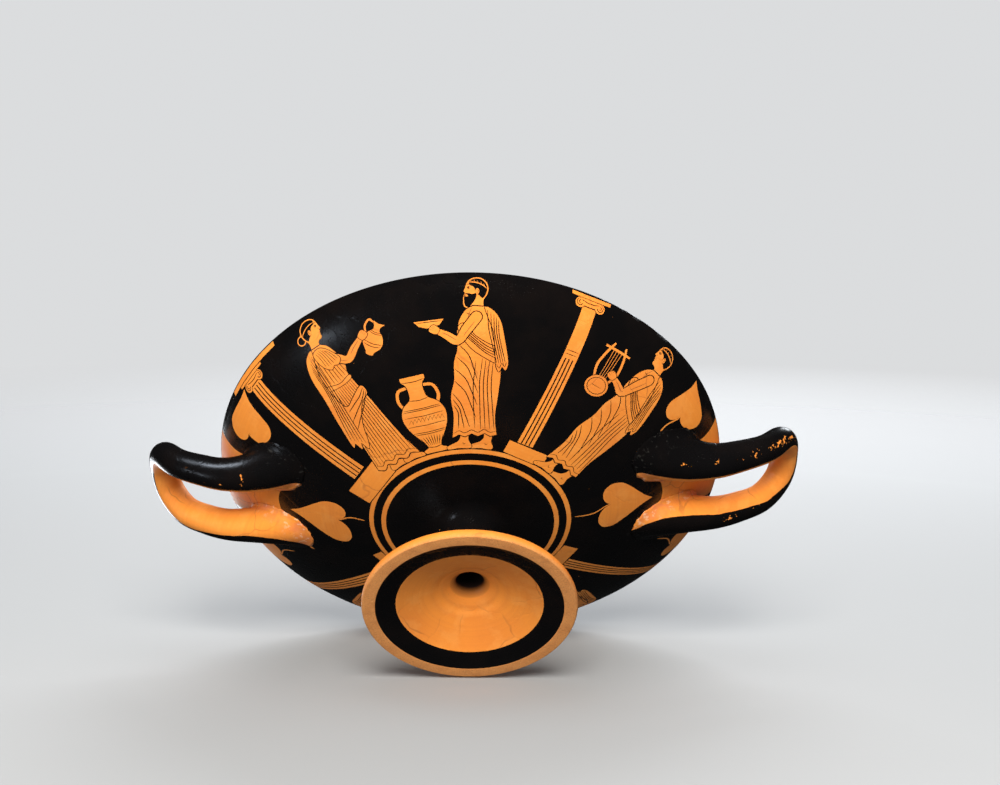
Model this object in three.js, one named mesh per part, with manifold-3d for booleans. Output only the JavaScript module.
// A red-figure kylix: a wheel-thrown, shallow drinking cup on a hollow stemmed foot, with two
// horizontal loop handles. It is one fired clay body, so it is one solid.
// Millimetres, +Z up. The cup stands on its foot at z = 0, its axis is Z and its handles lie along X.
import * as THREE from "three";
import { mergeVertices } from "three/addons/utils/BufferGeometryUtils.js";
import Module from "manifold-3d";

const wasm = await Module();
wasm.setup();

// ---- Driving dimensions ----
const RIM_R = 147.5; // outside radius of the lip
const HEIGHT = 118.2; // foot to the top of the lip
const LIP_ROUND = 1.7; // half the thickness of the rounded lip
const LIP_WALL_ANGLE = THREE.MathUtils.degToRad(73); // slope of the wall where it meets the lip
const FLOOR_ANGLE = THREE.MathUtils.degToRad(6); // slope of the bowl where it meets the stem
const BOWL_BASE_R = 24; // where the bowl turns into the stem
const BOWL_BASE_Z = 61.2;
const BASE_WALL = 5.6; // wall thickness beside the stem
const BOWL_FLOOR_Z = 65.9; // middle of the bowl's floor
const STEM_R = 12; // narrowest part of the stem
const STEM_Z = 42;
const FOOT_R = 61;
const FOOT_EDGE = 6.8; // height of the foot's rounded edge
const REST_INNER_R = 53; // the flat resting ring lies between these two radii
const REST_OUTER_R = 59.6;
const BAND_INNER_R = 41.5; // the underside starts to rise here as a bell
const BAND_RISE = 3.1;
const HOLE_R = 8.2; // mouth of the hole up the stem
const HOLE_MOUTH_Z = 20.5;
const HOLE_TOP_Z = 49;
const HANDLE_R = 8; // round section of a handle
const HANDLE_HALF_GAP = 21.6; // from the middle plane to the centre of a limb
const HANDLE_REACH = 186; // from the axis to the centre of the loop's end
const HANDLE_LOW_Z = 86.4; // centre of a limb where it leaves the bowl
const HANDLE_TOP_Z = 116.2; // centre of the loop's end, a little below the lip's top

// ---- Detail ----
const TURN_STEPS = 72;
const HANDLE_SIDES = 14;
const HANDLE_STEPS = 28;
const TRIM = 0.2; // the handles are cut this far behind the bowl's inner face, inside its wall

const v2 = (x, y) => new THREE.Vector2(x, y);
const v3 = (x, y, z) => new THREE.Vector3(x, y, z);

// The outside of the bowl, from the stem to the lip's widest point.
const lipSide = v2(RIM_R, HEIGHT - LIP_ROUND);
const bowlBase = v2(BOWL_BASE_R, BOWL_BASE_Z);
const polar = (from, length, angle) =>
  v2(from.x + length * Math.cos(angle), from.y + length * Math.sin(angle));
const bowlOutside = new THREE.CubicBezierCurve(
  bowlBase,
  polar(bowlBase, 0.306 * RIM_R, FLOOR_ANGLE),
  polar(lipSide, -0.17 * RIM_R, LIP_WALL_ANGLE),
  lipSide,
);

// The inside of the bowl at a share t of the way from the stem to the lip: the outside moved
// inwards by a wall that thins towards the lip, and back out by setBack.
function bowlInside(t, setBack) {
  const wall = THREE.MathUtils.lerp(BASE_WALL, 2 * LIP_ROUND, t) - setBack;
  const tangent = bowlOutside.getTangent(t);
  return bowlOutside.getPoint(t).add(v2(-tangent.y, tangent.x).multiplyScalar(wall));
}

// The outside from the lip's inner edge down to the foot's resting ring.
function outsideProfile() {
  const lip = new THREE.EllipseCurve(
    RIM_R - LIP_ROUND, HEIGHT - LIP_ROUND, LIP_ROUND, LIP_ROUND, Math.PI, 0, true);
  const toStem = new THREE.CubicBezierCurve(
    bowlBase,
    polar(bowlBase, -7, FLOOR_ANGLE),
    v2(STEM_R, BOWL_BASE_Z - 6),
    v2(STEM_R, STEM_Z),
  );
  const toFoot = new THREE.CubicBezierCurve(
    v2(STEM_R, STEM_Z),
    v2(STEM_R, STEM_Z - 18),
    v2(19, FOOT_EDGE + 4),
    v2(FOOT_R - 3.5, FOOT_EDGE),
  );
  const edge = new THREE.CubicBezierCurve(
    v2(FOOT_R - 3.5, FOOT_EDGE),
    v2(FOOT_R + 0.4, FOOT_EDGE),
    v2(FOOT_R + 0.4, 0.4),
    v2(REST_OUTER_R, 0),
  );
  return [
    ...lip.getPoints(4),
    ...bowlOutside.getPoints(12).reverse().slice(1),
    ...toStem.getPoints(5).slice(1),
    ...toFoot.getPoints(7).slice(1),
    ...edge.getPoints(4).slice(1),
  ];
}

// The underside: resting ring, a shallow conical band, the bell and the hole up the stem.
function undersideProfile() {
  const bell = new THREE.CubicBezierCurve(
    v2(BAND_INNER_R, BAND_RISE),
    v2(25, 7),
    v2(11, 10.5),
    v2(HOLE_R, HOLE_MOUTH_Z),
  );
  const holeEnd = new THREE.QuadraticBezierCurve(
    v2(HOLE_R - 1.6, HOLE_TOP_Z - 5),
    v2(HOLE_R - 2, HOLE_TOP_Z),
    v2(0, HOLE_TOP_Z),
  );
  return [v2(REST_INNER_R, 0), ...bell.getPoints(6), ...holeEnd.getPoints(3)];
}

// A closed three.js geometry as a manifold solid.
function solid(geometry) {
  const bare = geometry.clone();
  bare.deleteAttribute("normal");
  bare.deleteAttribute("uv");
  const merged = mergeVertices(bare, 1e-4);
  return new wasm.Manifold(
    new wasm.Mesh({
      numProp: 3,
      vertProperties: merged.getAttribute("position").array,
      triVerts: new Uint32Array(merged.index.array),
    }),
  );
}

// A profile of (radius, height) points that starts and ends on the axis, turned about Z.
// LatheGeometry turns about Y, so the result is stood up.
const turned = (points) => solid(new THREE.LatheGeometry(points, TURN_STEPS).rotateX(Math.PI / 2));

// The inside from the middle of the floor to the lip, set back into the wall by a distance.
function insideProfile(setBack) {
  const steps = 11;
  const wall = Array.from({ length: steps + 1 }, (_, i) => bowlInside(i / steps, setBack));
  const start = wall[0];
  const middle = new THREE.QuadraticBezierCurve(
    v2(0, BOWL_FLOOR_Z - setBack),
    v2(start.x * 0.5, BOWL_FLOOR_Z - setBack),
    start,
  );
  return [...middle.getPoints(3), ...wall.slice(1, -1)];
}

// The cup without its handles: one closed section, turned.
const turnedCup = () =>
  turned([...insideProfile(0), ...outsideProfile(), ...undersideProfile()].reverse());

// The space that the handles are kept out of: the bowl's inside, a little into its wall.
function bowlSpace() {
  const wall = insideProfile(TRIM);
  const top = HEIGHT + 2 * HANDLE_R;
  return turned([...wall, v2(wall.at(-1).x, top), v2(0, top)]);
}

// One loop handle on the side that sign points to. Each limb starts inside the bowl's wall and
// leaves it level, and the loop's end rises to the lip's height.
function handle(sign) {
  const half = [
    v3(102, HANDLE_HALF_GAP + 8, HANDLE_LOW_Z + 7),
    v3(113, HANDLE_HALF_GAP + 3.5, HANDLE_LOW_Z + 1.8),
    v3(128, HANDLE_HALF_GAP + 0.6, HANDLE_LOW_Z - 0.4),
    v3(144, HANDLE_HALF_GAP, HANDLE_LOW_Z + 0.8),
    v3(158, HANDLE_HALF_GAP - 0.2, HANDLE_LOW_Z + 5.6),
    v3(172, HANDLE_HALF_GAP - 1.4, HANDLE_LOW_Z + 12.6),
    v3(183, HANDLE_HALF_GAP - 6.8, HANDLE_TOP_Z - 5.2),
  ];
  const end = v3(HANDLE_REACH, 0, HANDLE_TOP_Z);
  const mirrored = [...half].reverse().map((p) => v3(p.x, -p.y, p.z));
  const path = new THREE.CatmullRomCurve3(
    [...half, end, ...mirrored].map((p) => v3(sign * p.x, p.y, p.z)),
    false,
    "centripetal",
  );
  const section = new THREE.Shape();
  section.absarc(0, 0, HANDLE_R, 0, 2 * Math.PI, false);
  return solid(
    new THREE.ExtrudeGeometry(section, {
      steps: HANDLE_STEPS,
      curveSegments: HANDLE_SIDES / 2, // an arc takes two sides for each
      extrudePath: path,
    }),
  );
}

function geometryOf(manifold) {
  const mesh = manifold.getMesh();
  return new THREE.BufferGeometry()
    .setAttribute("position", new THREE.BufferAttribute(mesh.vertProperties, 3))
    .setIndex(new THREE.BufferAttribute(mesh.triVerts, 1))
    .toNonIndexed();
}

function kylix() {
  const handles = handle(1).add(handle(-1)).subtract(bowlSpace());
  const cup = turnedCup().add(handles);
  const geometry = geometryOf(cup);
  geometry.computeVertexNormals();
  const gloss = new THREE.MeshStandardMaterial({ color: 0x14110f, roughness: 0.28, metalness: 0 });
  const mesh = new THREE.Mesh(geometry, gloss);
  mesh.name = "kylix";
  return mesh;
}

const part = new THREE.Group();
part.add(kylix());
export default part;
